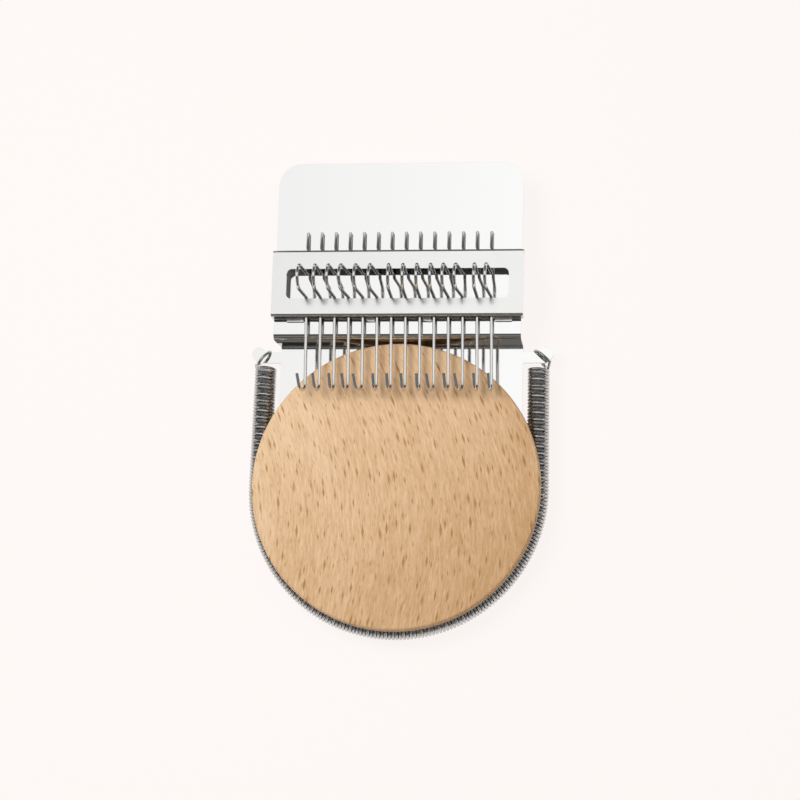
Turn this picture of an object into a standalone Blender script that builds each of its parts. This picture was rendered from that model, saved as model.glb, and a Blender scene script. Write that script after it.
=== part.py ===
"""Darning loom: a grooved beech disc, held by a coil spring in a joggled steel sheet, and a row of
turning wire hooks that run under a cover on that sheet.

Metres, +Z up. The disc stands on z = 0 with its axis through the origin, and the hooks lie above it,
towards +Y. Each hook turns about its own straight wire, which runs along Y.
"""

import math

import bmesh
import bpy
from mathutils import Matrix, Vector

MM = 0.001

# Wooden disc
DISC_DIAMETER = 70.0 * MM
DISC_THICKNESS = 11.0 * MM
DISC_EDGE_RADIUS = 1.2 * MM
DISC_STEPS = 64
EDGE_STEPS = 3
GROOVE_STEPS = 10
DISC_RADIUS = DISC_DIAMETER / 2
GROOVE_Z = DISC_THICKNESS / 2

# Back plate: one sheet, stepped between the panel in the groove and the plate under the hooks
SHEET_THICKNESS = 0.9 * MM
SEAT_GAP = 0.35 * MM
PANEL_INSET = 5.5 * MM
LEG_END_WIDTH = 2.17 * MM
LEG_END_RADIUS = 0.9 * MM
RIM_TO_STEP = 0.05 * MM
PLATE_LIFT = 0.95 * MM
STEP_BEND_RADIUS = 0.8 * MM
STEP_ANGLE_DEG = 85.0
PLATE_SHOULDER = 0.8 * MM
PLATE_LENGTH = 45.35 * MM
PLATE_CORNER_RADIUS = 5.8 * MM
SEAT_HALF_STEPS = 13
CORNER_STEPS = 6
BEND_STEPS = 4
PANEL_HALF_WIDTH = DISC_RADIUS - PANEL_INSET
PLATE_HALF_WIDTH = PANEL_HALF_WIDTH + PLATE_SHOULDER
STEP_FOOT_Y = DISC_RADIUS + RIM_TO_STEP
PLATE_TOP_Y = STEP_FOOT_Y + PLATE_LENGTH
PLATE_Z = DISC_THICKNESS + PLATE_LIFT
PLATE_TOP_Z = PLATE_Z + SHEET_THICKNESS / 2

# Ears of the back plate, which hold the spring's end loops
EAR_DROP = 1.05 * MM
EAR_ARM_WIDTH = 2.7 * MM
EAR_NECK_INSET = 1.8 * MM
EAR_TIP_REACH = 1.9 * MM
EAR_TIP_RADIUS = 1.7 * MM
EAR_NOTCH_DEPTH = 0.45 * MM
EAR_NOTCH_HALF_WIDTH = 0.55 * MM
EAR_TIP_STEPS = 9
EAR_HIGH_Y = STEP_FOOT_Y - EAR_DROP
EAR_LOW_Y = EAR_HIGH_Y - EAR_ARM_WIDTH
EAR_NECK_X = DISC_RADIUS - EAR_NECK_INSET
EAR_TIP_X = EAR_NECK_X + EAR_TIP_REACH

# Tension spring, wound from thin wire, in the groove round the disc's rim
SPRING_DIAMETER = 5.0 * MM
SPRING_WIRE = 0.55 * MM
SPRING_PROUD = 1.67 * MM
SPRING_CLEARANCE = 0.35 * MM
SPRING_TOP_OFFSET = 0.2 * MM
SPRING_TOP_DROP = 1.3 * MM
SPRING_CURLS = 84
CURL_POINTS = 8
LOOP_RADIUS = 2.45 * MM
LOOP_DRIFT = 1.3 * MM
LOOP_GAP = 0.3 * MM
LOOP_LEAN_DEG = 28.0
LOOP_START_DEG = 40.0
LOOP_END_DEG = 305.0
LOOP_POINTS = 11
SPRING_TOP_X = EAR_NECK_X + SPRING_TOP_OFFSET
SPRING_TOP_Y = EAR_LOW_Y - SPRING_TOP_DROP
SPRING_PATH_RADIUS = DISC_RADIUS + SPRING_PROUD - SPRING_DIAMETER / 2
COIL_RADIUS = (SPRING_DIAMETER - SPRING_WIRE) / 2
GROOVE_RADIUS = SPRING_DIAMETER / 2 + SPRING_CLEARANCE
SEAT_RADIUS = SPRING_PATH_RADIUS - GROOVE_RADIUS + SEAT_GAP

# Hook cover: a channel of thin sheet with a long window for the cranks
COVER_OVERHANG = 0.35 * MM
COVER_SETBACK = 6.25 * MM
COVER_DEPTH = 16.0 * MM
COVER_HEIGHT = 3.2 * MM
COVER_SHEET = 0.6 * MM
COVER_BEND_RADIUS = 0.8 * MM
COVER_FOOT_LENGTH = 1.3 * MM
OUTER_FOOT_WIDTH = 4.0 * MM
OUTER_FOOT_GAP = 0.28 * MM
INNER_FOOT_PITCHES = 2
WINDOW_END_BAR = 3.45 * MM
WINDOW_LOW_BAR = 3.7 * MM
WINDOW_HIGH_BAR = 4.55 * MM
WINDOW_CORNER_RADIUS = 1.3 * MM
WINDOW_CORNER_STEPS = 4
NOTCH_STEPS = 4
REST_GAP = 0.3 * MM
CUT_OVERRUN = 1.0 * MM
COVER_HALF_WIDTH = PLATE_HALF_WIDTH + COVER_OVERHANG
COVER_LOW_Y = STEP_FOOT_Y + COVER_SETBACK
COVER_HIGH_Y = COVER_LOW_Y + COVER_DEPTH
COVER_TOP_Z = PLATE_TOP_Z + COVER_HEIGHT
WINDOW_HALF_WIDTH = COVER_HALF_WIDTH - WINDOW_END_BAR
WINDOW_LOW_Y = COVER_LOW_Y + WINDOW_LOW_BAR
WINDOW_HIGH_Y = COVER_HIGH_Y - WINDOW_HIGH_BAR

# Hooks, bent from wire
HOOK_COUNT = 14
HOOK_ROW_INSET = 8.03 * MM
HOOK_WIRE = 0.8 * MM
HOOK_CLEARANCE = 0.3 * MM
HOOK_AXIS_HEIGHT = 1.65 * MM
HOOK_TAIL_REACH = 5.1 * MM
CRANK_DEPTH = 11.2 * MM
CRANK_FRONT_GAP = 0.3 * MM
CRANK_BACK_GAP = 0.75 * MM
CRANK_FOOT_RADIUS = 1.0 * MM
CROOK_OVERLAP = 12.65 * MM
CROOK_OFFSET = 0.45 * MM
CROOK_RADIUS = 1.8 * MM
CROOK_TURN_DEG = 154.0
CROOK_TIP_LENGTH = 2.7 * MM
FOOT_BEND_STEPS = 2
HEAD_BEND_STEPS = 4
CROOK_STEPS = 6
# How far each crank leans towards -X at rest, and how far each crook is twisted beyond its crank
HOOK_LEANS_DEG = (3.0, 0.5, 2.0, 4.8, 4.0, 4.0, -2.4, -2.3, -1.5, -0.5, 2.2, 5.3, -0.9, 3.3)
CROOK_TWISTS_DEG = (14.0, 12.0, 4.7, 6.2, 16.5, 0.0, 7.9, 8.5, 3.7, 16.7, 5.2, 13.5, 5.9, 1.2)
HOOK_PITCH = 2 * (COVER_HALF_WIDTH - HOOK_ROW_INSET) / (HOOK_COUNT - 1)
HOOK_AXIS_Z = PLATE_TOP_Z + HOOK_AXIS_HEIGHT
NOTCH_RADIUS = HOOK_WIRE / 2 + HOOK_CLEARANCE
HOOK_TAIL_Y = COVER_HIGH_Y + HOOK_TAIL_REACH
CRANK_LOW_Y = WINDOW_LOW_Y + CRANK_FRONT_GAP + HOOK_WIRE / 2
CRANK_HIGH_Y = WINDOW_HIGH_Y - CRANK_BACK_GAP - HOOK_WIRE / 2
CROOK_LOW_Y = DISC_RADIUS - CROOK_OVERLAP

MERGE_DISTANCE = 0.002 * MM

UP = Vector((0, 0, 1))


def clear_scene():
    """Remove whatever the scene holds."""
    for obj in list(bpy.data.objects):
        bpy.data.objects.remove(obj, do_unlink=True)


def new_collection(name):
    collection = bpy.data.collections.new(name)
    bpy.context.scene.collection.children.link(collection)
    return collection


def material(name, colour, roughness, metallic):
    mat = bpy.data.materials.new(name)
    mat.use_nodes = True
    shader = mat.node_tree.nodes["Principled BSDF"]
    shader.inputs["Base Color"].default_value = (*colour, 1)
    shader.inputs["Roughness"].default_value = roughness
    shader.inputs["Metallic"].default_value = metallic
    return mat


def mesh_object(name, bm, collection):
    mesh = bpy.data.meshes.new(name)
    bm.to_mesh(mesh)
    bm.free()
    obj = bpy.data.objects.new(name, mesh)
    collection.objects.link(obj)
    return obj


def arc(centre, radius, start_deg, end_deg, steps):
    """Points of a plane arc, both ends included."""
    turn = [math.radians(start_deg + (end_deg - start_deg) * i / steps) for i in range(steps + 1)]
    return [(centre[0] + radius * math.cos(a), centre[1] + radius * math.sin(a)) for a in turn]


def prism(name, outline, low, high, collection):
    """A closed outline in X and Y, filled and raised from one height to another, as a mesh."""
    curve = bpy.data.curves.new(name, "CURVE")
    curve.dimensions = "2D"
    curve.fill_mode = "BOTH"
    curve.extrude = (high - low) / 2
    spline = curve.splines.new("POLY")
    spline.points.add(len(outline) - 1)
    for point, (x, y) in zip(spline.points, outline):
        point.co = (x, y, 0, 1)
    spline.use_cyclic_u = True
    source = bpy.data.objects.new(name + "_outline", curve)
    collection.objects.link(source)
    source.location.z = (low + high) / 2
    bpy.context.view_layer.update()
    return curve_to_mesh(source, name, collection)


def curve_to_mesh(source, name, collection):
    """Turn a curve object into a mesh object with welded caps, in the same place."""
    graph = bpy.context.evaluated_depsgraph_get()
    mesh = bpy.data.meshes.new_from_object(source.evaluated_get(graph))
    bm = bmesh.new()
    bm.from_mesh(mesh)
    bmesh.ops.remove_doubles(bm, verts=bm.verts, dist=MERGE_DISTANCE)
    bmesh.ops.recalc_face_normals(bm, faces=bm.faces)
    bm.to_mesh(mesh)
    bm.free()
    obj = bpy.data.objects.new(name, mesh)
    obj.matrix_world = source.matrix_world.copy()
    collection.objects.link(obj)
    bpy.data.objects.remove(source, do_unlink=True)
    return obj


def strip(name, profile, width, thickness, offset, collection):
    """A sheet whose bent section is a line in Y and Z, drawn out across X."""
    bm = bmesh.new()
    rows = [[bm.verts.new((side * width / 2, y, z)) for y, z in profile] for side in (-1, 1)]
    for i in range(len(profile) - 1):
        bm.faces.new((rows[0][i], rows[1][i], rows[1][i + 1], rows[0][i + 1]))
    obj = mesh_object(name, bm, collection)
    solid = obj.modifiers.new("sheet", "SOLIDIFY")
    solid.thickness = thickness
    solid.offset = offset
    solid.use_even_offset = True
    return obj


def combine(obj, other, operation):
    """Cut or join with another object, which then only guides."""
    step = obj.modifiers.new(operation.lower(), "BOOLEAN")
    step.operation = operation
    step.solver = "EXACT"
    step.object = other
    other.hide_render = True
    other.display_type = "WIRE"


def wire(name, points, diameter, resolution, collection):
    """A round wire along a line of points."""
    curve = bpy.data.curves.new(name, "CURVE")
    curve.dimensions = "3D"
    curve.bevel_depth = diameter / 2
    curve.bevel_resolution = resolution
    curve.use_fill_caps = True
    spline = curve.splines.new("POLY")
    spline.points.add(len(points) - 1)
    for point, place in zip(spline.points, points):
        point.co = (*place, 1)
    obj = bpy.data.objects.new(name, curve)
    collection.objects.link(obj)
    return obj


def finish(obj, mat):
    """Give a mesh its material and shade its round faces smooth."""
    obj.data.materials.clear()
    obj.data.materials.append(mat)
    if obj.type == "MESH":
        obj.data.shade_smooth()
        obj.data.set_sharp_from_angle(angle=math.radians(30))


def wooden_disc(parts, mat):
    """Turned disc: rounded edges and a half-round groove in the rim that fits the spring."""
    edge = DISC_EDGE_RADIUS
    top = arc((DISC_RADIUS - edge, DISC_THICKNESS - edge), edge, 90, 0, EDGE_STEPS)
    bottom = arc((DISC_RADIUS - edge, edge), edge, 0, -90, EDGE_STEPS)
    mouth = math.degrees(math.acos((DISC_RADIUS - SPRING_PATH_RADIUS) / GROOVE_RADIUS))
    groove = arc((SPRING_PATH_RADIUS, GROOVE_Z), GROOVE_RADIUS, mouth, 360 - mouth, GROOVE_STEPS)
    profile = [(0, DISC_THICKNESS)] + top + groove + bottom + [(0, 0)]
    bm = bmesh.new()
    verts = [bm.verts.new((r, 0, z)) for r, z in profile]
    for a, b in zip(verts, verts[1:]):
        bm.edges.new((a, b))
    disc = mesh_object("wooden_disc", bm, parts)
    screw = disc.modifiers.new("turn", "SCREW")
    screw.steps = DISC_STEPS
    screw.render_steps = DISC_STEPS
    screw.use_merge_vertices = True
    screw.merge_threshold = MERGE_DISTANCE
    finish(disc, mat)
    return disc


def step_profile():
    """Middle line of the back plate in Y and Z: panel, step up over two bends, plate."""
    angle = math.radians(STEP_ANGLE_DEG)
    radius = STEP_BEND_RADIUS
    low_centre = (STEP_FOOT_Y, GROOVE_Z + radius)
    low = arc(low_centre, radius, -90, STEP_ANGLE_DEG - 90, BEND_STEPS)
    web = (PLATE_Z - GROOVE_Z - 2 * radius * (1 - math.cos(angle))) / math.sin(angle)
    run = 2 * radius * math.sin(angle) + web * math.cos(angle)
    high_centre = (STEP_FOOT_Y + run, PLATE_Z - radius)
    high = arc(high_centre, radius, STEP_ANGLE_DEG + 90, 90, BEND_STEPS)
    end = (PLATE_TOP_Y + CUT_OVERRUN, PLATE_Z)
    return [(0, GROOVE_Z)] + low + high + [end]


def ear_outline():
    """Right ear: an arm from the panel's side, a notch for the spring's loop and a round tip."""
    tip_centre = (EAR_TIP_X, STEP_FOOT_Y - EAR_TIP_RADIUS)
    tip = arc(tip_centre, EAR_TIP_RADIUS, -60, 140, EAR_TIP_STEPS)
    notch = [
        (EAR_NECK_X + EAR_NOTCH_HALF_WIDTH, EAR_HIGH_Y - EAR_NOTCH_DEPTH / 2),
        (EAR_NECK_X, EAR_HIGH_Y - EAR_NOTCH_DEPTH),
        (EAR_NECK_X - EAR_NOTCH_HALF_WIDTH, EAR_HIGH_Y - EAR_NOTCH_DEPTH / 2),
        (EAR_NECK_X - 2 * EAR_NOTCH_HALF_WIDTH, EAR_HIGH_Y),
    ]
    arm = [(PANEL_HALF_WIDTH, EAR_LOW_Y), (EAR_NECK_X, EAR_LOW_Y)]
    return arm + tip + notch + [(PANEL_HALF_WIDTH, EAR_HIGH_Y)]


def plate_outline():
    """Plan of the whole back plate: seat arc, legs, ears and the plate's round corners."""
    seat_end = math.acos((PANEL_HALF_WIDTH - LEG_END_WIDTH) / SEAT_RADIUS)
    seat = arc((0, 0), SEAT_RADIUS, 90, math.degrees(seat_end), SEAT_HALF_STEPS)
    leg_low = SEAT_RADIUS * math.sin(seat_end)
    leg_corner = (PANEL_HALF_WIDTH - LEG_END_RADIUS, leg_low + LEG_END_RADIUS)
    leg = arc(leg_corner, LEG_END_RADIUS, -90, 0, EDGE_STEPS)
    corner_centre = (PLATE_HALF_WIDTH - PLATE_CORNER_RADIUS, PLATE_TOP_Y - PLATE_CORNER_RADIUS)
    corner = arc(corner_centre, PLATE_CORNER_RADIUS, 0, 90, CORNER_STEPS)
    shoulder = [(PANEL_HALF_WIDTH, STEP_FOOT_Y), (PLATE_HALF_WIDTH, STEP_FOOT_Y)]
    right = seat[1:] + leg + ear_outline() + shoulder + corner
    left = [(-x, y) for x, y in reversed(right)]
    return [seat[0]] + right + left


def back_plate(parts, guides, mat):
    """Joggled sheet: its bent section is drawn out across X and trimmed to its plan."""
    plate = strip("back_plate", step_profile(), 2 * (EAR_TIP_X + EAR_TIP_RADIUS + CUT_OVERRUN),
                  SHEET_THICKNESS, 0, parts)
    low = GROOVE_Z - SHEET_THICKNESS / 2 - CUT_OVERRUN
    plan = prism("plate_plan", plate_outline(), low, PLATE_TOP_Z + CUT_OVERRUN, guides)
    combine(plate, plan, "INTERSECT")
    finish(plate, mat)
    return plate


def cover_profile():
    """Outer line of the cover's section in Y and Z: low lip, top and high lip."""
    foot = PLATE_TOP_Z + REST_GAP
    radius = COVER_BEND_RADIUS
    low_bend = arc((COVER_LOW_Y + radius, COVER_TOP_Z - radius), radius, 180, 90, EDGE_STEPS)
    high_bend = arc((COVER_HIGH_Y - radius, COVER_TOP_Z - radius), radius, 90, 0, EDGE_STEPS)
    return [(COVER_LOW_Y, foot)] + low_bend + high_bend + [(COVER_HIGH_Y, foot)]


def window_outline():
    """The window's round-cornered plan."""
    side = WINDOW_HALF_WIDTH - WINDOW_CORNER_RADIUS
    low = WINDOW_LOW_Y + WINDOW_CORNER_RADIUS
    high = WINDOW_HIGH_Y - WINDOW_CORNER_RADIUS
    outline = []
    for turn, (x, y) in enumerate(((side, low), (side, high), (-side, high), (-side, low))):
        start = 90 * (turn - 1)
        outline += arc((x, y), WINDOW_CORNER_RADIUS, start, start + 90, WINDOW_CORNER_STEPS)
    return outline


def hook_x(index):
    return (index - (HOOK_COUNT - 1) / 2) * HOOK_PITCH


def notch_cutter(guides):
    """Round-topped slots through both lips, one for each hook's wire."""
    bm = bmesh.new()
    foot = PLATE_TOP_Z + REST_GAP - CUT_OVERRUN
    for index in range(HOOK_COUNT):
        x = hook_x(index)
        outline = arc((x, HOOK_AXIS_Z), NOTCH_RADIUS, 0, 180, NOTCH_STEPS)
        outline += [(x - NOTCH_RADIUS, foot), (x + NOTCH_RADIUS, foot)]
        face = bm.faces.new([bm.verts.new((px, COVER_LOW_Y - CUT_OVERRUN, pz)) for px, pz in outline])
        grown = bmesh.ops.extrude_face_region(bm, geom=[face])
        moved = [v for v in grown["geom"] if isinstance(v, bmesh.types.BMVert)]
        length = COVER_HIGH_Y - COVER_LOW_Y + 2 * CUT_OVERRUN
        bmesh.ops.translate(bm, verts=moved, vec=(0, length, 0))
    bmesh.ops.recalc_face_normals(bm, faces=bm.faces)
    return mesh_object("wire_notches", bm, guides)


def cover_feet(guides):
    """Tabs turned out of the low lip, flat on the plate between the wires."""
    bm = bmesh.new()
    inner_x = INNER_FOOT_PITCHES * HOOK_PITCH
    inner_width = HOOK_PITCH - 2 * NOTCH_RADIUS
    outer_x = hook_x(HOOK_COUNT - 1) + NOTCH_RADIUS + OUTER_FOOT_GAP + OUTER_FOOT_WIDTH / 2
    low = PLATE_TOP_Z + REST_GAP
    for x, width in ((outer_x, OUTER_FOOT_WIDTH), (inner_x, inner_width)):
        for side in (-1, 1):
            size = Vector((width, COVER_FOOT_LENGTH + COVER_SHEET / 2, COVER_SHEET))
            centre = Vector((side * x, COVER_LOW_Y + COVER_SHEET / 2 - size.y / 2, low + size.z / 2))
            place = Matrix.Translation(centre) @ Matrix.Diagonal((*size, 1))
            bmesh.ops.create_cube(bm, size=1, matrix=place)
    return mesh_object("cover_feet", bm, guides)


def hook_cover(parts, guides, mat):
    """Channel over the hooks, with its window, its wire notches and its feet."""
    cover = strip("hook_cover", cover_profile(), 2 * COVER_HALF_WIDTH, COVER_SHEET, -1, parts)
    window = prism("crank_window", window_outline(), PLATE_TOP_Z, COVER_TOP_Z + CUT_OVERRUN, guides)
    combine(cover, cover_feet(guides), "UNION")
    combine(cover, window, "DIFFERENCE")
    combine(cover, notch_cutter(guides), "DIFFERENCE")
    finish(cover, mat)
    return cover


def hook_points(twist_deg):
    """Middle line of a hook about its own axis: tail, crank, shank and crook."""
    foot = CRANK_FOOT_RADIUS
    head = (CRANK_HIGH_Y - CRANK_LOW_Y) / 2
    line = [(HOOK_TAIL_Y, 0)]
    line += arc((CRANK_HIGH_Y + foot, foot), foot, 270, 180, FOOT_BEND_STEPS)
    line += arc((CRANK_LOW_Y + head, CRANK_DEPTH - head), head, 0, 180, 2 * HEAD_BEND_STEPS)
    line += arc((CRANK_LOW_Y - foot, foot), foot, 0, -90, FOOT_BEND_STEPS)
    crook_centre = (CROOK_LOW_Y + CROOK_RADIUS, CROOK_RADIUS)
    crook = arc(crook_centre, CROOK_RADIUS, 270, 270 - CROOK_TURN_DEG, CROOK_STEPS)
    rise = math.radians(180 - CROOK_TURN_DEG)
    tip_y = crook[-1][0] + CROOK_TIP_LENGTH * math.cos(rise)
    crook.append((tip_y, crook[-1][1] + CROOK_TIP_LENGTH * math.sin(rise)))
    twist = Matrix.Rotation(-math.radians(twist_deg), 3, "Y")
    bent = [twist @ Vector((CROOK_OFFSET, y, z)) for y, z in crook]
    return [Vector((0, y, z)) for y, z in line] + bent


def hooks(parts, mat):
    """The row of hooks, each with its origin on its own axis and leaning as it lies at rest."""
    made = []
    for index, (lean, twist) in enumerate(zip(HOOK_LEANS_DEG, CROOK_TWISTS_DEG)):
        hook = wire("hook_%02d" % (index + 1), hook_points(twist), HOOK_WIRE, 2, parts)
        hook.location = (hook_x(index), 0, HOOK_AXIS_Z)
        hook.rotation_euler.y = -math.radians(lean)
        finish(hook, mat)
        made.append(hook)
    return made


def spring_route():
    """The spring's middle line as a function of length: leg, lower arc and leg, and its length."""
    top = Vector((SPRING_TOP_X, SPRING_TOP_Y, 0))
    reach = top.length
    touch = math.atan2(top.y, top.x) - math.acos(SPRING_PATH_RADIUS / reach)
    leg = math.sqrt(reach ** 2 - SPRING_PATH_RADIUS ** 2)
    bow = (math.pi + 2 * touch) * SPRING_PATH_RADIUS
    right_touch = SPRING_PATH_RADIUS * Vector((math.cos(touch), math.sin(touch), 0))
    right_out = right_touch.normalized()
    left_touch = Vector((-right_touch.x, right_touch.y, 0))
    left_out = left_touch.normalized()
    left_top = Vector((-top.x, top.y, 0))

    def place(length):
        """A point of the middle line and the direction away from the disc there."""
        if length < leg:
            return left_top.lerp(left_touch, length / leg), left_out
        if length > leg + bow:
            return right_touch.lerp(top, (length - leg - bow) / leg), right_out
        angle = math.pi - touch + (length - leg) / SPRING_PATH_RADIUS
        out = Vector((math.cos(angle), math.sin(angle), 0))
        return SPRING_PATH_RADIUS * out, out

    return place, 2 * leg + bow


def end_loop(side, first_z):
    """The loop round an ear's neck, from the coil's outer side, first towards +Z or -Z."""
    lean = math.radians(LOOP_LEAN_DEG)
    along = Vector((-side * math.sin(lean), math.cos(lean), 0))
    drift = Vector((-side * math.cos(lean), -math.sin(lean), 0)) * LOOP_DRIFT
    high = EAR_HIGH_Y + LOOP_GAP + SPRING_WIRE / 2
    centre = Vector((side * EAR_NECK_X, high, GROOVE_Z)) - along * LOOP_RADIUS
    points = []
    for i in range(LOOP_POINTS):
        share = i / (LOOP_POINTS - 1)
        angle = math.radians(LOOP_START_DEG + (LOOP_END_DEG - LOOP_START_DEG) * share)
        ring = -math.cos(angle) * along + first_z * math.sin(angle) * UP
        points.append(centre + LOOP_RADIUS * ring + drift * share)
    return points


def spring_points():
    place, length = spring_route()
    count = SPRING_CURLS * CURL_POINTS
    coil = []
    for i in range(count + 1):
        point, out = place(length * i / count)
        phase = 2 * math.pi * i / CURL_POINTS
        offset = COIL_RADIUS * (math.cos(phase) * out + math.sin(phase) * UP)
        coil.append(point + GROOVE_Z * UP + offset)
    return list(reversed(end_loop(-1, -1))) + coil + end_loop(1, 1)


def least_self_gap(points, diameter):
    """Smallest gap between stretches of the wire that are over half a curl apart."""
    least = math.inf
    apart = CURL_POINTS // 2 + 1
    for i, point in enumerate(points):
        for other in points[i + apart:]:
            least = min(least, (point - other).length)
    return least - diameter


def tension_spring(parts, mat):
    """One unbroken wire: end loop, coil round the lower half of the rim, end loop."""
    points = spring_points()
    spring = wire("tension_spring", points, SPRING_WIRE, 1, parts)
    finish(spring, mat)
    gap = least_self_gap(points, SPRING_WIRE)
    print("tension spring: %d curls, least gap to itself %.2f mm" % (SPRING_CURLS, gap / MM))
    return spring


clear_scene()
loom = new_collection("darning_loom")
guides = new_collection("cutters")
beech = material("oiled_beech", (0.72, 0.46, 0.25), 0.5, 0.0)
polished_steel = material("polished_steel", (0.86, 0.86, 0.85), 0.12, 1.0)
hook_steel = material("hook_wire", (0.62, 0.62, 0.61), 0.22, 1.0)
spring_steel = material("spring_wire", (0.36, 0.36, 0.36), 0.3, 1.0)

wooden_disc(loom, beech)
back_plate(loom, guides, polished_steel)
hook_cover(loom, guides, polished_steel)
hooks(loom, hook_steel)
tension_spring(loom, spring_steel)
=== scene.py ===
import math

import bmesh
import bpy
from mathutils import Matrix, Vector


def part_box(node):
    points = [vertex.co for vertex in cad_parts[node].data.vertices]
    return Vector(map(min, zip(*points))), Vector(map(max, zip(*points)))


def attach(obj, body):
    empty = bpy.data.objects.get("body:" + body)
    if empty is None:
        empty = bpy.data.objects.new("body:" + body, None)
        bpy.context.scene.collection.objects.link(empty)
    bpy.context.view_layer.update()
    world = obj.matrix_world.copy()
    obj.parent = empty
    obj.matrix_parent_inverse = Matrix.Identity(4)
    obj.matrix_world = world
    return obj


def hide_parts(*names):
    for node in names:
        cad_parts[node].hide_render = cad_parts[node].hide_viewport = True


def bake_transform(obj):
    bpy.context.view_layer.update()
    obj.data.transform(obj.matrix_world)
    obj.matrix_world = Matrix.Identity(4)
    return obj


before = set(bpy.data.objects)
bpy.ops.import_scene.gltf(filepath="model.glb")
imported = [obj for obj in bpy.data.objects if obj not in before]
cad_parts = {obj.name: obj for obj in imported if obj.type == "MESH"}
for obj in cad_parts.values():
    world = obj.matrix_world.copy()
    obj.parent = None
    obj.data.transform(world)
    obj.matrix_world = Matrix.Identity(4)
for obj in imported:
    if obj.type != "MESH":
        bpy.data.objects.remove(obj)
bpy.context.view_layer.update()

# The camera stands almost straight above the loom, a little to its right and towards the disc's
# near edge. It was set from the photograph's straight edges and the disc's outline.
CAMERA_LENS = 108
CAMERA_SENSOR = 36
CAMERA_PLACE = Vector((0.07756, -0.10172, 0.57279))
CAMERA_RIGHT = Vector((0.99118, 0.02906, -0.12933))
CAMERA_UP = Vector((-0.0008, 0.97698, 0.21335))

camera_data = bpy.data.cameras.new("camera")
camera_data.lens = CAMERA_LENS
camera_data.sensor_width = CAMERA_SENSOR
camera = bpy.data.objects.new("camera", camera_data)
bpy.context.scene.collection.objects.link(camera)
camera_back = CAMERA_RIGHT.cross(CAMERA_UP).normalized()
camera_up = camera_back.cross(CAMERA_RIGHT).normalized()
camera_right = camera_up.cross(camera_back)
camera_turn = Matrix((camera_right, camera_up, camera_back)).transposed()
camera.matrix_world = Matrix.Translation(CAMERA_PLACE) @ camera_turn.to_4x4()
bpy.context.scene.camera = camera
bpy.context.scene.view_settings.view_transform = "Standard"

# The studio: a plain pale table under the loom, a soft light at its upper left, a dome of light
# that is dim before, behind and low down, and cards overhead that only metal mirrors.
TABLE_COLOUR = (0.991, 0.947, 0.922)
TABLE_HALF_SIZE = 3.0
TABLE_GLOW = 0.93
DOME_COLOUR = (1.0, 0.995, 0.985)
DOME_BACK = 0.92
DOME_FRONT = 0.21
DOME_FAR = 0.16
DOME_HORIZON = 0.06
DOME_FRONT_EDGE = (-0.10, 0.04)
DOME_FAR_EDGE = (0.42, 0.56)
DOME_HORIZON_EDGE = (0.18, 0.45)
KEY_PLACE = Vector((-0.13, 0.08, 0.42))
KEY_SIZE = 0.2
KEY_POWER = 1.2
LIGHT_AIM = Vector((0.0, 0.02, 0.01))
CARD_HEIGHT = 0.9
WHITE_CARD = ((-0.30, 0.09), (0.06, 0.46))
CAMERA_CARD = ((-0.80, -0.27), (0.60, 0.02))
TRIPOD_CARD = ((-0.80, -0.45), (-0.11, -0.27))
WHITE_TONES = (1.14, 1.40)
DARK_TONES = (0.03, 0.03)


def new_material(name):
    """An empty node material, its node tree and its output."""
    mat = bpy.data.materials.new(name)
    mat.use_nodes = True
    tree = mat.node_tree
    tree.nodes.clear()
    output = tree.nodes.new("ShaderNodeOutputMaterial")
    return mat, tree, output


def node(tree, kind, **inputs):
    """A shader node with some of its sockets set or linked. An underscore stands for a space."""
    made = tree.nodes.new("ShaderNode" + kind)
    for key, value in inputs.items():
        socket = made.inputs[key.replace("_", " ")]
        if isinstance(value, bpy.types.NodeSocket):
            tree.links.new(value, socket)
        else:
            socket.default_value = value
    return made


def maths(tree, operation, first, second=0.0):
    """A Math node's result."""
    made = tree.nodes.new("ShaderNodeMath")
    made.operation = operation
    for socket, value in zip(made.inputs, (first, second)):
        if isinstance(value, bpy.types.NodeSocket):
            tree.links.new(value, socket)
        else:
            socket.default_value = value
    return made.outputs[0]


def table_material():
    """Plain pale table: it glows a little, so that it stays pale, and keeps soft shadows."""
    mat, tree, output = new_material("pale_table")
    colour = (*TABLE_COLOUR, 1)
    plain = node(tree, "BsdfDiffuse", Color=colour)
    glow = node(tree, "Emission", Color=colour, Strength=1.0)
    path = node(tree, "LightPath")
    seen = maths(tree, "MAXIMUM", path.outputs["Is Camera Ray"], path.outputs["Is Glossy Ray"])
    seen = maths(tree, "MAXIMUM", seen, path.outputs["Is Transmission Ray"])
    share = maths(tree, "MULTIPLY", seen, TABLE_GLOW)
    mix = node(tree, "MixShader", Fac=share)
    tree.links.new(plain.outputs[0], mix.inputs[1])
    tree.links.new(glow.outputs[0], mix.inputs[2])
    tree.links.new(mix.outputs[0], output.inputs["Surface"])
    return mat


def flat_board(name, corner_low, corner_high, mat):
    """A single flat face between two corners, at the height of the first."""
    bm = bmesh.new()
    bmesh.ops.create_grid(bm, x_segments=1, y_segments=1, size=0.5)  # one metre square
    size = corner_high - corner_low
    middle = (corner_low + corner_high) / 2
    place = Matrix.Translation(middle) @ Matrix.Diagonal((size.x, size.y, 1, 1))
    bmesh.ops.transform(bm, matrix=place, verts=bm.verts)
    mesh = bpy.data.meshes.new(name)
    bm.to_mesh(mesh)
    bm.free()
    board = bpy.data.objects.new(name, mesh)
    bpy.context.scene.collection.objects.link(board)
    mesh.materials.append(mat)
    return board


reach = Vector((TABLE_HALF_SIZE, TABLE_HALF_SIZE, 0))
flat_board("table", -reach, reach, table_material())

world = bpy.data.worlds.new("studio")
world.use_nodes = True
bpy.context.scene.world = world
sky = world.node_tree
direction = node(sky, "TexCoord").outputs["Generated"]
axes = node(sky, "SeparateXYZ", Vector=direction)


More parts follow.
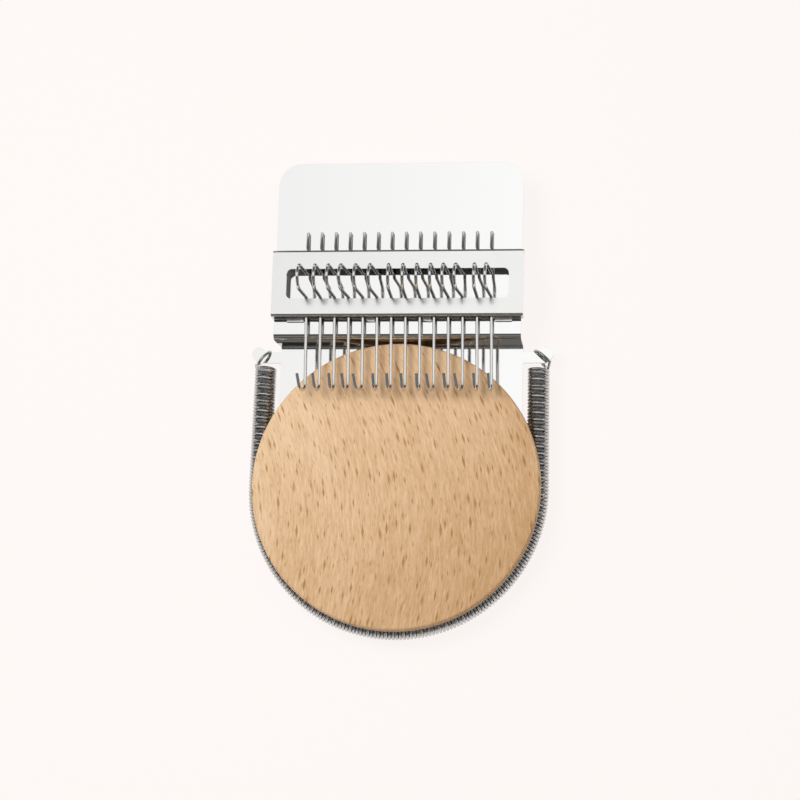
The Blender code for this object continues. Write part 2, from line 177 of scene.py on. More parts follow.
def dome_share(axis, edge, low, high):
    """The dome's strength along one axis, which changes evenly over the edge's two places."""
    share = node(sky, "MapRange", Value=axes.outputs[axis], From_Min=edge[0], From_Max=edge[1],
                 To_Min=low, To_Max=high)
    return share.outputs[0]


side_tone = dome_share("Y", DOME_FRONT_EDGE, DOME_FRONT, DOME_BACK)
far_tone = dome_share("Y", DOME_FAR_EDGE, 1.0, DOME_FAR)
lift = dome_share("Z", DOME_HORIZON_EDGE, DOME_HORIZON, 1.0)
dome_tone = maths(sky, "MULTIPLY", side_tone, far_tone)
dome_tone = maths(sky, "MULTIPLY", dome_tone, lift)
sky.nodes["Background"].inputs["Color"].default_value = (*DOME_COLOUR, 1)
sky.links.new(dome_tone, sky.nodes["Background"].inputs["Strength"])


def soft_light(name, place, size, power):
    """A square area light that faces the loom."""
    light = bpy.data.lights.new(name, "AREA")
    light.shape = "SQUARE"
    light.size = size
    light.energy = power
    lamp = bpy.data.objects.new(name, light)
    bpy.context.scene.collection.objects.link(lamp)
    lamp.location = place
    lamp.rotation_euler = (place - LIGHT_AIM).to_track_quat("Z", "Y").to_euler()
    lamp.visible_glossy = False


soft_light("key_light", KEY_PLACE, KEY_SIZE, KEY_POWER)


def mirrored_card(name, corners, tones):
    """A flat card overhead that only polished metal sees, from one grey at its left to another."""
    low, high = corners
    mat, tree, output = new_material(name)
    across = node(tree, "SeparateXYZ", Vector=node(tree, "TexCoord").outputs["Object"]).outputs["X"]
    tone = node(tree, "MapRange", Value=across, From_Min=low[0], From_Max=high[0],
                To_Min=tones[0], To_Max=tones[1])
    glow = node(tree, "Emission", Strength=tone.outputs[0])
    tree.links.new(glow.outputs[0], output.inputs["Surface"])
    card = flat_board(name, Vector((*low, CARD_HEIGHT)), Vector((*high, CARD_HEIGHT)), mat)
    card.visible_camera = False
    card.visible_diffuse = False
    card.visible_shadow = False
    card.visible_transmission = False


mirrored_card("white_card", WHITE_CARD, WHITE_TONES)
mirrored_card("camera_card", CAMERA_CARD, DARK_TONES)
mirrored_card("tripod_card", TRIPOD_CARD, DARK_TONES)

# Wooden disc: turned from oiled beech, with rounded edges and a half-round groove in its rim that
# the spring lies in. The cloth to be mended is stretched over its upper face.
MM = 0.001
disc_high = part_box("wooden_disc")[1]
DISC_RADIUS = disc_high.x
DISC_THICKNESS = disc_high.z
DISC_EDGE_RADIUS = 0.7 * MM
DISC_STEPS = 240
EDGE_STEPS = 8
GROOVE_STEPS = 20
SPRING_DIAMETER = 5.4 * MM
SPRING_CLEARANCE = 0.35 * MM
SPRING_PROUD = 1.67 * MM
SPRING_PATH_RADIUS = DISC_RADIUS + SPRING_PROUD - SPRING_DIAMETER / 2
GROOVE_Z = DISC_THICKNESS / 2
GROOVE_RADIUS = SPRING_DIAMETER / 2 + SPRING_CLEARANCE
MERGE_DISTANCE = 0.001 * MM
SMOOTH_DEG = 35
BEECH_PALE = (0.87, 0.615, 0.385)
BEECH_MIDDLE = (0.755, 0.490, 0.275)
BEECH_BROWN = (0.62, 0.365, 0.175)
FLECK_COLOUR = (0.45, 0.22, 0.08)
GRAIN_BOW = 5.5
GRAIN_STRAIGHT_Y = -14.0 * MM
# Painted light: the wood's tone rises towards +Y and -X, so the disc is paler at its upper left,
# where the light falls, and browner at its lower right.
PAINTED_LIGHT_DRIFT = 7.0
BAND_SCALE = (170, 22, 90)
BAND_CONTRAST = 0.75
STREAK_SCALE = (2500, 300, 1500)
STREAK_CONTRAST = 2.1
BOLD_FLECKS = (1.45 * MM, 7.6 * MM, 0.28, 3.1)
FAINT_FLECKS = (1.0 * MM, 5.2 * MM, 0.24, 8.7)
FAINT_SHARE = 0.5
FLECK_LEAST = 0.2
FLECK_SOFTNESS = 0.3
FLECK_PALEST = 0.6
FLECK_DEPTH = 0.8
BEECH_BUMP = 0.05 * MM
BEECH_BUMP_STRENGTH = 0.2
BEECH_ROUGHNESS = 0.55
BEECH_SPECULAR = 0.3


def arc(centre, radius, start_deg, end_deg, steps):
    """Points of a plane arc, both ends included."""
    turn = [math.radians(start_deg + (end_deg - start_deg) * i / steps) for i in range(steps + 1)]
    return [(centre[0] + radius * math.cos(a), centre[1] + radius * math.sin(a)) for a in turn]


def piece(name, bm, mat):
    """A mesh object from a bmesh, with its material and its round faces shaded smooth."""
    mesh = bpy.data.meshes.new(name)
    bm.to_mesh(mesh)
    bm.free()
    mesh.shade_smooth()
    mesh.set_sharp_from_angle(angle=math.radians(SMOOTH_DEG))
    mesh.materials.append(mat)
    made = bpy.data.objects.new(name, mesh)
    bpy.context.scene.collection.objects.link(made)
    return made


def fleck_layer(tree, across, along, width, length, largest, seed):
    """Short pointed flecks, one to each Voronoi cell, which is drawn out along the grain."""
    grain = node(tree, "CombineXYZ", X=across, Y=along).outputs[0]
    scaled = node(tree, "Mapping", Vector=grain, Location=(seed, 0.7 * seed, 0),
                  Scale=(1 / width, 1 / length, 1))
    cells = node(tree, "TexVoronoi")
    cells.voronoi_dimensions = "2D"
    cells.distance = "MANHATTAN"
    tree.links.new(scaled.outputs[0], cells.inputs["Vector"])
    cells.inputs["Scale"].default_value = 1.0
    cell = node(tree, "SeparateColor", Color=cells.outputs["Color"])
    limit = node(tree, "MapRange", Value=cell.outputs["Red"], To_Min=FLECK_LEAST * largest,
                 To_Max=largest)
    edge = maths(tree, "SUBTRACT", limit.outputs[0], cells.outputs["Distance"])
    soft = node(tree, "MapRange", Value=edge, From_Min=0.0, From_Max=FLECK_SOFTNESS * largest)
    weight = node(tree, "MapRange", Value=cell.outputs["Green"], To_Min=FLECK_PALEST, To_Max=1.0)
    return maths(tree, "MULTIPLY", soft.outputs[0], weight.outputs[0])


def beech_material():
    """Beech: fine streaks along the grain, painted light that makes it paler towards its upper left
    and browner towards its lower right, and dark flecks of its rays.
    """
    mat, tree, output = new_material("oiled_beech")
    place = node(tree, "TexCoord").outputs["Object"]
    axes = node(tree, "SeparateXYZ", Vector=place)
    x, y, z = axes.outputs["X"], axes.outputs["Y"], axes.outputs["Z"]
    above = maths(tree, "SUBTRACT", y, GRAIN_STRAIGHT_Y)
    bow = maths(tree, "MULTIPLY", maths(tree, "MULTIPLY", above, above), GRAIN_BOW)
    across = maths(tree, "ADD", x, bow)
    grain = node(tree, "CombineXYZ", X=across, Y=y, Z=z).outputs[0]

    bands = node(tree, "Mapping", Vector=grain, Scale=BAND_SCALE)
    band_noise = node(tree, "TexNoise", Vector=bands.outputs[0], Scale=1.0, Detail=3.0,
                      Roughness=0.55).outputs["Fac"]
    streaks = node(tree, "Mapping", Vector=grain, Scale=STREAK_SCALE)
    streak_noise = node(tree, "TexNoise", Vector=streaks.outputs[0], Scale=1.0, Detail=3.0,
                        Roughness=0.7).outputs["Fac"]
    # Painted light: paler towards the upper left (+Y, -X) and browner towards the lower right. It
    # stands in for part of the light from the upper left.
    drift = maths(tree, "MULTIPLY", maths(tree, "SUBTRACT", y, x), PAINTED_LIGHT_DRIFT)
    band = maths(tree, "MULTIPLY", maths(tree, "SUBTRACT", band_noise, 0.5), BAND_CONTRAST)
    streak = maths(tree, "MULTIPLY", maths(tree, "SUBTRACT", streak_noise, 0.5), STREAK_CONTRAST)
    tone = maths(tree, "ADD", maths(tree, "ADD", drift, 0.5), maths(tree, "ADD", band, streak))
    colours = node(tree, "ValToRGB", Fac=tone)
    ramp = colours.color_ramp
    ramp.elements[0].position = 0.0
    ramp.elements[0].color = (*BEECH_BROWN, 1)
    ramp.elements[1].position = 1.0
    ramp.elements[1].color = (*BEECH_PALE, 1)
    middle = ramp.elements.new(0.5)
    middle.color = (*BEECH_MIDDLE, 1)

    bold = fleck_layer(tree, across, y, *BOLD_FLECKS)
    faint = fleck_layer(tree, across, y, *FAINT_FLECKS)
    flecks = maths(tree, "MAXIMUM", bold, maths(tree, "MULTIPLY", faint, FAINT_SHARE))
    mixed = node(tree, "Mix")
    mixed.data_type = "RGBA"
    tree.links.new(flecks, mixed.inputs[0])
    tree.links.new(colours.outputs["Color"], mixed.inputs["A"])
    mixed.inputs["B"].default_value = (*FLECK_COLOUR, 1)

    depth = maths(tree, "SUBTRACT", streak_noise, maths(tree, "MULTIPLY", flecks, FLECK_DEPTH))
    bump = node(tree, "Bump", Strength=BEECH_BUMP_STRENGTH, Distance=BEECH_BUMP, Height=depth)
    shader = node(tree, "BsdfPrincipled", Base_Color=mixed.outputs["Result"],
                  Normal=bump.outputs[0])
    shader.inputs["Roughness"].default_value = BEECH_ROUGHNESS
    shader.inputs["Specular IOR Level"].default_value = BEECH_SPECULAR
    tree.links.new(shader.outputs[0], output.inputs["Surface"])
    return mat


def turned_disc():
    """The disc's half section, spun round its axis."""
    edge = DISC_EDGE_RADIUS
    top = arc((DISC_RADIUS - edge, DISC_THICKNESS - edge), edge, 90, 0, EDGE_STEPS)
    bottom = arc((DISC_RADIUS - edge, edge), edge, 0, -90, EDGE_STEPS)
    mouth = math.degrees(math.acos((DISC_RADIUS - SPRING_PATH_RADIUS) / GROOVE_RADIUS))
    groove = arc((SPRING_PATH_RADIUS, GROOVE_Z), GROOVE_RADIUS, mouth, 360 - mouth, GROOVE_STEPS)
    profile = [(0, DISC_THICKNESS)] + top + groove + bottom + [(0, 0)]
    bm = bmesh.new()
    verts = [bm.verts.new((r, 0, z)) for r, z in profile]
    edges = [bm.edges.new(pair) for pair in zip(verts, verts[1:])]
    bmesh.ops.spin(bm, geom=verts + edges, cent=(0, 0, 0), axis=(0, 0, 1), angle=2 * math.pi,
                   steps=DISC_STEPS, use_merge=True)
    bmesh.ops.remove_doubles(bm, verts=bm.verts, dist=MERGE_DISTANCE)
    bmesh.ops.recalc_face_normals(bm, faces=bm.faces)
    return piece("beech_disc", bm, beech_material())


disc = turned_disc()
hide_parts("wooden_disc")
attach(disc, "disc")

# Back plate: one mirror-polished steel sheet. Its panel sits in the disc's groove, a step lifts it
# over the disc, and two ears beside the panel hold the spring's end loops.
plate_low, plate_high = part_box("back_plate")
SHEET_THICKNESS = 0.9 * MM
SHEET_EDGE = 0.17 * MM
SEAT_RADIUS = 31.67 * MM
PANEL_HALF_WIDTH = 29.85 * MM
LEG_END_Y = plate_low.y
LEG_END_RADIUS = 0.9 * MM
STEP_FOOT_Y = 35.05 * MM
STEP_RADIUS = 0.8 * MM
STEP_FOOT_DEG = 89.0
STEP_HEAD_DEG = 79.5
PLATE_Z = plate_high.z - SHEET_THICKNESS / 2
PLATE_HALF_WIDTH = 30.3 * MM
PLATE_TOP_Y = plate_high.y
PLATE_CORNER_RADIUS = 5.8 * MM
EAR_LOW_Y = 31.3 * MM
EAR_HIGH_Y = 34.0 * MM
EAR_TIP_RADIUS = 1.7 * MM
EAR_TIP_X = plate_high.x - EAR_TIP_RADIUS
EAR_TIP_SHIFT = 0.4 * MM
EAR_NECK_X = 33.2 * MM
EAR_NOTCH_DEPTH = 0.45 * MM
EAR_NOTCH_HALF_WIDTH = 0.55 * MM
CORNER_STEPS = 16
BEND_STEPS = 14
PLATE_SHIFT = -0.55 * MM
STEEL_COLOUR = (0.72, 0.72, 0.715)
HAZE_SCALE = 90.0
MIRROR_ROUGHNESS = (0.035, 0.085)
SATIN_ROUGH = 0.155
UNDER_ROUGH = 0.45
UNDER_NORMAL_Z = -0.5
POLISH_SCALE = (900, 60, 900)
POLISH_BUMP = 0.02 * MM
POLISH_BUMP_STRENGTH = 0.02
SHEET_CORNER_DEG = 50


def polished_steel():
    """Mirror-polished sheet with a faint haze, satin where its attribute says, dull underneath."""
    mat, tree, output = new_material("polished_sheet")
    place = node(tree, "TexCoord").outputs["Object"]
    haze = node(tree, "TexNoise", Vector=place, Scale=HAZE_SCALE, Detail=4.0, Roughness=0.6)
    mirror = node(tree, "MapRange", Value=haze.outputs["Fac"], To_Min=MIRROR_ROUGHNESS[0],
                  To_Max=MIRROR_ROUGHNESS[1])
    lines = node(tree, "Mapping", Vector=place, Scale=POLISH_SCALE)
    line_noise = node(tree, "TexNoise", Vector=lines.outputs[0], Scale=1.0, Detail=2.0)
    bump = node(tree, "Bump", Strength=POLISH_BUMP_STRENGTH, Distance=POLISH_BUMP,
                Height=line_noise.outputs["Fac"])
    satin = node(tree, "Attribute")
    satin.attribute_name = "satin"
    facing = node(tree, "SeparateXYZ", Vector=node(tree, "NewGeometry").outputs["Normal"])
    under = maths(tree, "LESS_THAN", facing.outputs["Z"], UNDER_NORMAL_Z)
    satin_part = maths(tree, "MULTIPLY", satin.outputs["Fac"], SATIN_ROUGH)
    under_part = maths(tree, "MULTIPLY", under, UNDER_ROUGH)
    rough = maths(tree, "ADD", mirror.outputs[0], satin_part)
    rough = maths(tree, "ADD", rough, under_part)
    shader = node(tree, "BsdfPrincipled", Roughness=rough, Normal=bump.outputs[0])
    shader.inputs["Base Color"].default_value = (*STEEL_COLOUR, 1)
    shader.inputs["Metallic"].default_value = 1.0
    tree.links.new(shader.outputs[0], output.inputs["Surface"])
    return mat


def lengths(line):
    """The distance of each point of a line from its start, along the line."""
    total = [0.0]
    for a, b in zip(line, line[1:]):
        total.append(total[-1] + math.dist(a, b))
    return total


def bend_sheet(bm, line):
    """Cut a flat sheet, drawn with its developed length along Y, across each bend and fold it."""
    reached = lengths(line)
    for length in reached[1:-1]:
        geom = bm.verts[:] + bm.edges[:] + bm.faces[:]
        bmesh.ops.bisect_plane(bm, geom=geom, dist=MERGE_DISTANCE, plane_co=(0, length, 0),
                               plane_no=(0, 1, 0))
    for vert in bm.verts:
        y = min(max(vert.co.y, reached[0]), reached[-1])
        i = max(j for j in range(len(reached) - 1) if reached[j] <= y + MERGE_DISTANCE)
        share = (y - reached[i]) / (reached[i + 1] - reached[i])
        a, b = line[i], line[i + 1]
        vert.co.y = a[0] + (b[0] - a[0]) * share
        vert.co.z = a[1] + (b[1] - a[1]) * share


def sheet_piece(name, bm, thickness, mat):
    """A folded sheet given its thickness and its softened cut edges."""
    made = piece(name, bm, mat)
    wall = made.modifiers.new("sheet", "SOLIDIFY")
    wall.thickness = thickness
    wall.offset = 0
    wall.use_even_offset = True
    edge = made.modifiers.new("edge", "BEVEL")
    edge.width = SHEET_EDGE
    edge.segments = 3
    edge.limit_method = "ANGLE"
    edge.angle_limit = math.radians(SHEET_CORNER_DEG)
    flats = made.modifiers.new("true_flats", "WEIGHTED_NORMAL")
    flats.weight = 100
    flats.keep_sharp = True
    return made


def walk(start, spans):
    """Points of a line that turns evenly along each span, given as length and two slopes."""
    points = [start]
    for length, from_deg, to_deg in spans:
        for i in range(BEND_STEPS):
            slope = math.radians(from_deg + (to_deg - from_deg) * (i + 0.5) / BEND_STEPS)
            stride = length / BEND_STEPS
            y, z = points[-1]
            points.append((y + stride * math.cos(slope), z + stride * math.sin(slope)))
    return points


def step_line():
    """Middle line of the back plate in Y and Z. The step's web is bowed between its bends."""
    bend_low = (STEP_RADIUS * math.radians(STEP_FOOT_DEG), 0, STEP_FOOT_DEG)
    bend_high = (STEP_RADIUS * math.radians(STEP_HEAD_DEG), STEP_HEAD_DEG, 0)
    unit_web = (1.0, STEP_FOOT_DEG, STEP_HEAD_DEG)
    bends_rise = walk((0, 0), [bend_low, bend_high])[-1][1]
    web_length = (PLATE_Z - GROOVE_Z - bends_rise) / walk((0, 0), [unit_web])[-1][1]
    web = (web_length, STEP_FOOT_DEG, STEP_HEAD_DEG)
    step = walk((STEP_FOOT_Y, GROOVE_Z), [bend_low, web, bend_high])
    return [(0, GROOVE_Z)] + step[:-1] + [(step[-1][0], PLATE_Z), (PLATE_TOP_Y, PLATE_Z)]


def ear_outline():
    """Right ear: an arm from the panel's side, a notch for the spring's loop and a round tip."""
    tip_y = STEP_FOOT_Y - EAR_TIP_RADIUS + EAR_TIP_SHIFT / 2
    tip_centre = (EAR_TIP_X + EAR_TIP_SHIFT, tip_y)
    tip = arc(tip_centre, EAR_TIP_RADIUS, -45, 140, 2 * CORNER_STEPS)
    dip = arc((EAR_NECK_X, EAR_HIGH_Y), EAR_NOTCH_HALF_WIDTH, 0, -180, EDGE_STEPS)
    notch = [(x, EAR_HIGH_Y + (y - EAR_HIGH_Y) * EAR_NOTCH_DEPTH / EAR_NOTCH_HALF_WIDTH)
             for x, y in dip]
    arm_end_x = tip[0][0] - tip[0][1] + EAR_LOW_Y
    arm = [(PANEL_HALF_WIDTH, EAR_LOW_Y), (arm_end_x, EAR_LOW_Y)]
    return arm + tip + notch + [(PANEL_HALF_WIDTH, EAR_HIGH_Y)]


def make_back_plate(mat):
    """The plate's plan, filled, folded over its step and thickened."""
    line = step_line()
    reached = lengths(line)
    grown = reached[-1] - PLATE_TOP_Y
    seat_end = math.degrees(math.asin(LEG_END_Y / SEAT_RADIUS))
    seat = arc((0, 0), SEAT_RADIUS, 90, seat_end, 3 * CORNER_STEPS)
    leg_corner = (PANEL_HALF_WIDTH - LEG_END_RADIUS, LEG_END_Y + LEG_END_RADIUS)
    leg = arc(leg_corner, LEG_END_RADIUS, -90, 0, EDGE_STEPS)
    low_half = seat[1:] + leg + ear_outline() + [(PANEL_HALF_WIDTH, STEP_FOOT_Y)]
    corner_y = PLATE_TOP_Y - PLATE_CORNER_RADIUS + grown
    corner_centre = (PLATE_HALF_WIDTH - PLATE_CORNER_RADIUS, corner_y)
    high_half = [(PLATE_HALF_WIDTH, reached[2 * BEND_STEPS])]
    high_half += arc(corner_centre, PLATE_CORNER_RADIUS, 0, 90, CORNER_STEPS)
    right = low_half + [(x + PLATE_SHIFT, y) for x, y in high_half]
    left = [(-x + PLATE_SHIFT, y) for x, y in reversed(high_half)]
    left += [(-x, y) for x, y in reversed(low_half)]
    outline = [seat[0]] + right + left
    bm = bmesh.new()
    bm.faces.new([bm.verts.new((x, y, 0)) for x, y in outline])
    bend_sheet(bm, line)
    bmesh.ops.recalc_face_normals(bm, faces=bm.faces)
    return sheet_piece("polished_back_plate", bm, SHEET_THICKNESS, mat)


sheet_finish = polished_steel()
back_plate = make_back_plate(sheet_finish)
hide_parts("back_plate")
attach(back_plate, "frame")

# Hook cover: a thin satin channel over the hooks, with a long window for their cranks, a notch
# in each lip for every wire, and small feet turned out of its low lip.
cover_low, cover_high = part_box("hook_cover")
COVER_SHEET = 0.5 * MM
COVER_SHIFT = -0.35 * MM
COVER_HALF_WIDTH = cover_high.x + 0.1 * MM
COVER_LOW_Y = 40.75 * MM
COVER_HIGH_Y = cover_high.y + 0.12 * MM
COVER_TOP_Z = cover_high.z
COVER_BEND_RADIUS = 0.4 * MM
COVER_FOOT_LENGTH = COVER_LOW_Y - cover_low.y
COVER_FOOT_RADIUS = 0.4 * MM
COVER_FEET = ((25.5 * MM, 4.1 * MM), (6.96 * MM, 2.08 * MM))
WINDOW_HALF_WIDTH = 27.2 * MM
WINDOW_LOW_Y = 45.15 * MM
WINDOW_HIGH_Y = 52.6 * MM
WINDOW_CORNER_RADIUS = 1.3 * MM
REST_GAP = 0.3 * MM
HOOK_COUNT = 14
HOOK_PITCH = 3.48 * MM
HOOK_WIRE = 0.8 * MM
HOOK_CLEARANCE = 0.3 * MM
HOOK_AXIS_Z = plate_high.z + 1.65 * MM
NOTCH_HALF_WIDTH = HOOK_WIRE / 2 + HOOK_CLEARANCE
LIP_Z = plate_high.z + REST_GAP


def hook_x(index):
    return (index - (HOOK_COUNT - 1) / 2) * HOOK_PITCH


def cover_line():
    """Middle line of the cover in Y and Z: foot, low lip, top and high lip."""
    half = COVER_SHEET / 2
    foot_z = plate_high.z + half
    low_y = COVER_LOW_Y + half
    high_y = COVER_HIGH_Y - half
    top_z = COVER_TOP_Z - half
    bend = COVER_BEND_RADIUS
    foot = COVER_FOOT_RADIUS
    foot_bend = arc((low_y - foot, foot_z + foot), foot, -90, 0, EDGE_STEPS)
    low_bend = arc((low_y + bend, top_z - bend), bend, 180, 90, EDGE_STEPS)
    high_bend = arc((high_y - bend, top_z - bend), bend, 90, 0, EDGE_STEPS)
    start = [(COVER_LOW_Y - COVER_FOOT_LENGTH, foot_z)]
    return start + foot_bend + low_bend + high_bend + [(high_y, LIP_Z)]


def lip_edge(edge, depth, into, feet):
    """One lip's developed edge from -X to +X, with its wire notches and feet. into is +1 or -1."""
    floor = edge + into * (depth - NOTCH_HALF_WIDTH)
    stops = [(hook_x(i), "notch", NOTCH_HALF_WIDTH) for i in range(HOOK_COUNT)]
    for x, width in feet:
        stops += [(x, "foot", width / 2), (-x, "foot", width / 2)]
    points = [(COVER_SHIFT - COVER_HALF_WIDTH, edge)]
    for x, kind, half in sorted(stops):
        if kind == "foot":
            points += [(x - half, edge), (x - half, 0), (x + half, 0), (x + half, edge)]
        else:
            crown = arc((x, floor), half, 180, 180 - into * 180, EDGE_STEPS)
            points += [(x - half, edge)] + crown + [(x + half, edge)]
    return points + [(COVER_SHIFT + COVER_HALF_WIDTH, edge)]


def make_hook_cover(mat):
    """The cover's plan with its window, filled, folded and thickened."""
    line = cover_line()
    reached = lengths(line)
    foot_end = EDGE_STEPS + 1
    top_end = 2 * EDGE_STEPS + 2
    low_edge = reached[foot_end] + LIP_Z - line[foot_end][1]
    high_edge = reached[-1]
    notch_depth = HOOK_AXIS_Z + NOTCH_HALF_WIDTH - LIP_Z
    low_side = lip_edge(low_edge, notch_depth, 1, COVER_FEET)
    high_side = lip_edge(high_edge, notch_depth, -1, ())
    outline = low_side + list(reversed(high_side))
    shift = reached[top_end] - line[top_end][0]
    corner_x = WINDOW_HALF_WIDTH - WINDOW_CORNER_RADIUS
    low = WINDOW_LOW_Y + WINDOW_CORNER_RADIUS + shift
    high = WINDOW_HIGH_Y - WINDOW_CORNER_RADIUS + shift
    window = []
    corners = ((corner_x, low), (corner_x, high), (-corner_x, high), (-corner_x, low))
    for turn, (x, y) in enumerate(corners):
        start = 90 * (turn - 1)
        window += arc((x + COVER_SHIFT, y), WINDOW_CORNER_RADIUS, start, start + 90, EDGE_STEPS)
    bm = bmesh.new()
    for loop in (outline, window):
        verts = [bm.verts.new((x, y, 0)) for x, y in loop]
        for a, b in zip(verts, verts[1:] + verts[:1]):
            bm.edges.new((a, b))
    bmesh.ops.remove_doubles(bm, verts=bm.verts, dist=MERGE_DISTANCE)
    bmesh.ops.triangle_fill(bm, use_beauty=True, edges=bm.edges, normal=(0, 0, 1))
    bend_sheet(bm, line)
    bmesh.ops.recalc_face_normals(bm, faces=bm.faces)
    return sheet_piece("polished_hook_cover", bm, COVER_SHEET, mat)


hook_cover = make_hook_cover(sheet_finish)
satin = hook_cover.data.attributes.new("satin", "FLOAT", "POINT")
satin.data.foreach_set("value", [1.0] * len(hook_cover.data.vertices))
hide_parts("hook_cover")
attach(hook_cover, "frame")

# Hooks: fourteen bright steel wires, each bent into a tail, a crank, a straight shank and a crook.
# They lie in the cover's notches, lean a little unequally, and turn about their own wire.
HOOK_TAIL_Y = 62.4 * MM
TAIL_BEND_Y = 57.5 * MM
TAIL_LOW_Y = 58.4 * MM
TAIL_BEND = Vector((-0.35 * MM, 0, -0.55 * MM))
TAIL_DROOP = 0.28 * MM
CRANK_HIGH_Y = 51.6 * MM
CRANK_LOW_Y = 45.7 * MM
CRANK_DEPTH = 11.2 * MM
CRANK_FOOT_RADIUS = 1.0 * MM
CROOK_LOW_Y = 22.35 * MM
CROOK_OFFSET = 0.45 * MM
CROOK_RADIUS = 1.8 * MM
CROOK_TURN_DEG = 154.0
CROOK_TIP_LENGTH = 2.7 * MM
HOOK_LEANS_DEG = (3.0, 0.5, 2.0, 4.8, 4.0, 4.0, -2.4, -2.3, -1.5, -0.5, 2.2, 5.3, -0.9, 3.3)
CROOK_TWISTS_DEG = (14.0, 12.0, 4.7, 6.2, 16.5, 0.0, 7.9, 8.5, 3.7, 16.7, 5.2, 13.5, 5.9, 1.2)
WIRE_STEPS = 10
WIRE_END_CUT = 0.12 * MM
WIRE_END_SHARE = 0.75
HOOK_SIDE_STEPS = 6
HOOK_COLOUR = (0.74, 0.735, 0.725)
HOOK_ROUGHNESS = 0.16
DRAW_MARK_SCALE = 2400.0
DRAW_MARK_SPREAD = 0.25
DRAW_MARK_BUMP = 0.02 * MM
DRAW_MARK_STRENGTH = 0.05


def bright_wire(name, colour, roughness):
    """Drawn steel wire: fine marks in its surface and slightly uneven gloss."""
    mat, tree, output = new_material(name)
    place = node(tree, "TexCoord").outputs["Object"]
    marks = node(tree, "TexNoise", Vector=place, Scale=DRAW_MARK_SCALE, Detail=2.0, Roughness=0.5)
    rough = node(tree, "MapRange", Value=marks.outputs["Fac"],
                 To_Min=roughness * (1 - DRAW_MARK_SPREAD),
                 To_Max=roughness * (1 + DRAW_MARK_SPREAD))
    bump = node(tree, "Bump", Strength=DRAW_MARK_STRENGTH, Distance=DRAW_MARK_BUMP,
                Height=marks.outputs["Fac"])
    shader = node(tree, "BsdfPrincipled", Roughness=rough.outputs[0], Normal=bump.outputs[0])
    shader.inputs["Base Color"].default_value = (*colour, 1)
    shader.inputs["Metallic"].default_value = 1.0
    tree.links.new(shader.outputs[0], output.inputs["Surface"])
    return mat


def wire_piece(name, points, diameter, side_steps, mat):
    """A round wire along a line of points, as a mesh with slightly softened cut ends."""
    curve = bpy.data.curves.new(name, "CURVE")
    curve.dimensions = "3D"
    curve.bevel_depth = diameter / 2
    curve.bevel_resolution = side_steps
    curve.use_fill_caps = True
    first = points[0].lerp(points[1], WIRE_END_CUT / (points[1] - points[0]).length)
    last = points[-1].lerp(points[-2], WIRE_END_CUT / (points[-1] - points[-2]).length)
    route = [points[0], first] + points[1:-1] + [last, points[-1]]
    spline = curve.splines.new("POLY")
    spline.points.add(len(route) - 1)
    for point, place in zip(spline.points, route):
        point.co = (*place, 1)
    spline.points[0].radius = WIRE_END_SHARE
    spline.points[-1].radius = WIRE_END_SHARE
    guide = bpy.data.objects.new(name + "_route", curve)
    bpy.context.scene.collection.objects.link(guide)
    graph = bpy.context.evaluated_depsgraph_get()
    mesh = bpy.data.meshes.new_from_object(guide.evaluated_get(graph))
    bm = bmesh.new()
    bm.from_mesh(mesh)
    bmesh.ops.remove_doubles(bm, verts=bm.verts, dist=MERGE_DISTANCE)
    bmesh.ops.recalc_face_normals(bm, faces=bm.faces)
    bpy.data.objects.remove(guide, do_unlink=True)
    return piece(name, bm, mat)


def hook_line(twist_deg):
    """Middle line of a hook about its own axis: bent tail, crank, shank and crook."""
    foot = CRANK_FOOT_RADIUS
    head = (CRANK_HIGH_Y - CRANK_LOW_Y) / 2
    line = [(TAIL_BEND_Y, 0)]
    line += arc((CRANK_HIGH_Y + foot, foot), foot, 270, 180, WIRE_STEPS)
    line += arc((CRANK_LOW_Y + head, CRANK_DEPTH - head), head, 0, 180, 3 * WIRE_STEPS)
    line += arc((CRANK_LOW_Y - foot, foot), foot, 0, -90, WIRE_STEPS)
    crook_centre = (CROOK_LOW_Y + CROOK_RADIUS, CROOK_RADIUS)
    crook = arc(crook_centre, CROOK_RADIUS, 270, 270 - CROOK_TURN_DEG, 2 * WIRE_STEPS)
    rise = math.radians(180 - CROOK_TURN_DEG)
    tip_y = crook[-1][0] + CROOK_TIP_LENGTH * math.cos(rise)
    crook.append((tip_y, crook[-1][1] + CROOK_TIP_LENGTH * math.sin(rise)))
    twist = Matrix.Rotation(-math.radians(twist_deg), 3, "Y")
    bent = [twist @ Vector((CROOK_OFFSET, y, z)) for y, z in crook]
    tail_end = Vector((0, HOOK_TAIL_Y, -TAIL_DROOP)) + TAIL_BEND
    tail_bend = Vector((0, TAIL_LOW_Y, 0)) + TAIL_BEND
    return [tail_end, tail_bend] + [Vector((0, y, z)) for y, z in line] + bent


hook_finish = bright_wire("hook_wire", HOOK_COLOUR, HOOK_ROUGHNESS)
for index, (lean, twist) in enumerate(zip(HOOK_LEANS_DEG, CROOK_TWISTS_DEG)):
    place = Matrix.Translation((hook_x(index), 0, HOOK_AXIS_Z))
    place = place @ Matrix.Rotation(-math.radians(lean), 4, "Y")
    route = [place @ point for point in hook_line(twist)]
    hook = wire_piece("bright_hook_%02d" % (index + 1), route, HOOK_WIRE, HOOK_SIDE_STEPS,
                      hook_finish)
    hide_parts("hook_%02d" % (index + 1))
    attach(hook, "hook_%02d" % (index + 1))

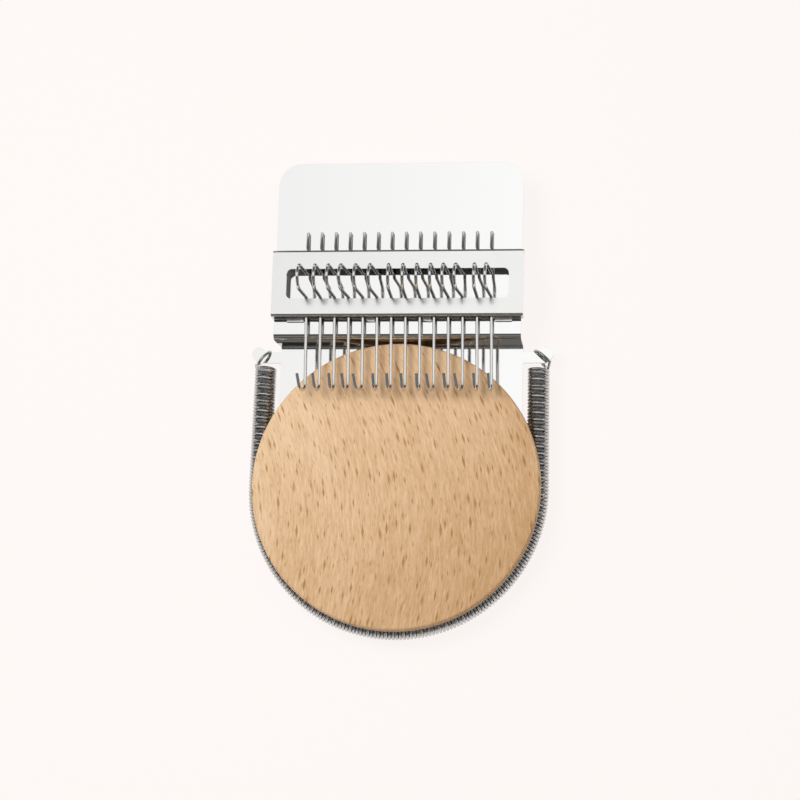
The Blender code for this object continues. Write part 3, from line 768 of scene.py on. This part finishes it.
# Tension spring: one long steel wire, wound close and hooked over both ears by its end loops. It
# stretches between the ears and the disc's rim, so it clamps cloth in the groove.
SPRING_WIRE = 0.74 * MM
SPRING_TOP = Vector((33.65 * MM, 30.0 * MM, 0))
SPRING_CURLS = 200
CURL_POINTS = 16
LOOP_RADIUS = 2.7 * MM
LOOP_DRIFT = 1.3 * MM
LOOP_LEAN_DEG = 44.0
LOOP_START_DEG = 40.0
LOOP_END_DEG = 305.0
LOOP_POINTS = 24
SPRING_SIDE_STEPS = 3
SPRING_COLOUR = (0.58, 0.575, 0.565)
SPRING_ROUGHNESS = 0.28
COIL_RADIUS = (SPRING_DIAMETER - SPRING_WIRE) / 2
UP = Vector((0, 0, 1))


def spring_route():
    """The spring's middle line as a function of length: leg, lower arc and leg, and its length."""
    top = SPRING_TOP
    touch = math.atan2(top.y, top.x) - math.acos(SPRING_PATH_RADIUS / top.length)
    leg = math.sqrt(top.length ** 2 - SPRING_PATH_RADIUS ** 2)
    bow = (math.pi + 2 * touch) * SPRING_PATH_RADIUS
    right_touch = SPRING_PATH_RADIUS * Vector((math.cos(touch), math.sin(touch), 0))
    right_out = right_touch.normalized()
    left_touch = Vector((-right_touch.x, right_touch.y, 0))
    left_out = left_touch.normalized()
    left_top = Vector((-top.x, top.y, 0))

    def spot(length):
        """A point of the middle line and the direction away from the disc there."""
        if length < leg:
            return left_top.lerp(left_touch, length / leg), left_out
        if length > leg + bow:
            return right_touch.lerp(top, (length - leg - bow) / leg), right_out
        angle = math.pi - touch + (length - leg) / SPRING_PATH_RADIUS
        out = Vector((math.cos(angle), math.sin(angle), 0))
        return SPRING_PATH_RADIUS * out, out

    return spot, 2 * leg + bow


def end_loop(side, first_z):
    """The loop round an ear's neck, from the coil's outer side, first towards +Z or -Z."""
    lean = math.radians(LOOP_LEAN_DEG)
    along = Vector((-side * math.sin(lean), math.cos(lean), 0))
    drift = Vector((-side * math.cos(lean), -math.sin(lean), 0)) * LOOP_DRIFT
    high = EAR_HIGH_Y + REST_GAP + SPRING_WIRE / 2
    centre = Vector((side * EAR_NECK_X, high, GROOVE_Z)) - along * LOOP_RADIUS
    points = []
    for i in range(LOOP_POINTS):
        share = i / (LOOP_POINTS - 1)
        angle = math.radians(LOOP_START_DEG + (LOOP_END_DEG - LOOP_START_DEG) * share)
        ring = -math.cos(angle) * along + first_z * math.sin(angle) * UP
        points.append(centre + LOOP_RADIUS * ring + drift * share)
    return points


def coil_points():
    """The whole wire: end loop, close coil along the middle line, end loop."""
    spot, length = spring_route()
    count = SPRING_CURLS * CURL_POINTS
    coil = []
    for i in range(count + 1):
        point, out = spot(length * i / count)
        phase = 2 * math.pi * i / CURL_POINTS
        offset = COIL_RADIUS * (math.cos(phase) * out + math.sin(phase) * UP)
        coil.append(point + GROOVE_Z * UP + offset)
    return list(reversed(end_loop(-1, -1))) + coil + end_loop(1, 1)


spring_finish = bright_wire("spring_wire", SPRING_COLOUR, SPRING_ROUGHNESS)
spring = wire_piece("long_tension_spring", coil_points(), SPRING_WIRE, SPRING_SIDE_STEPS,
                    spring_finish)
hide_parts("tension_spring")
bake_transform(spring)
